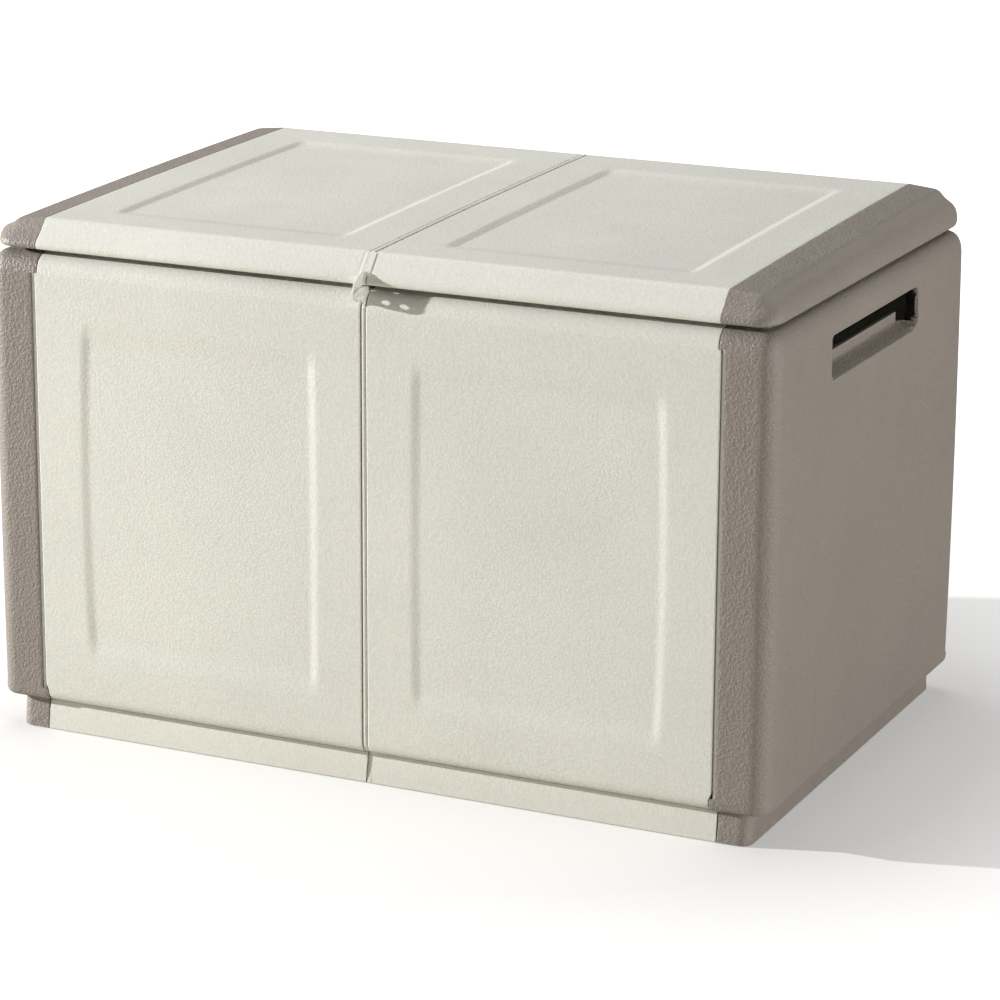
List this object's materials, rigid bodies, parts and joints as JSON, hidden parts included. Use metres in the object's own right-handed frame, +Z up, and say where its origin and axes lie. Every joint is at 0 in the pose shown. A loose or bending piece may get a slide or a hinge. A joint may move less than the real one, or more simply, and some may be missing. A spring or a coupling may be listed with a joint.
{
  "type": "deck storage box",
  "caption": "Free-standing resin storage chest for the garden, with a hinged, sloping lid, grip openings in its ends and padlock ears at the front.",
  "frame": {"origin": "middle of the footprint, on the ground", "axes": "+X along the front to the right as seen from the front, +Y from the front to the back, +Z up"},
  "size_m": [0.96, 0.656, 0.6184],
  "materials": {
    "cream_resin": "fine leather grain, satin",
    "taupe_resin": "fine leather grain, satin"
  },
  "bodies": {
    "chest": {"front_panel_left": "cream_resin", "front_panel_right": "cream_resin", "back_panel_left": "cream_resin", "back_panel_right": "cream_resin", "front_centre_post": "cream_resin", "back_centre_post": "cream_resin", "side_panel_left": "taupe_resin", "side_panel_right": "taupe_resin", "floor_panel_left": "cream_resin", "floor_panel_right": "cream_resin", "floor_keel": "cream_resin", "hinge_pin_1": "taupe_resin", "hinge_pin_2": "taupe_resin", "hinge_pin_3": "taupe_resin", "hinge_pin_4": "taupe_resin"},
    "lid": {"lid_panel_left": "cream_resin", "lid_panel_right": "cream_resin", "lid_end_cap_left": "taupe_resin", "lid_end_cap_right": "taupe_resin", "lid_centre_strip": "cream_resin"}
  },
  "joints": [
    {"name": "lid_hinge", "type": "hinge", "parent": "chest", "child": "lid", "pos_m": [0, 0.3185, 0.56], "axis": [-1, 0, 0], "range_deg": [0, 100]}
  ]
}
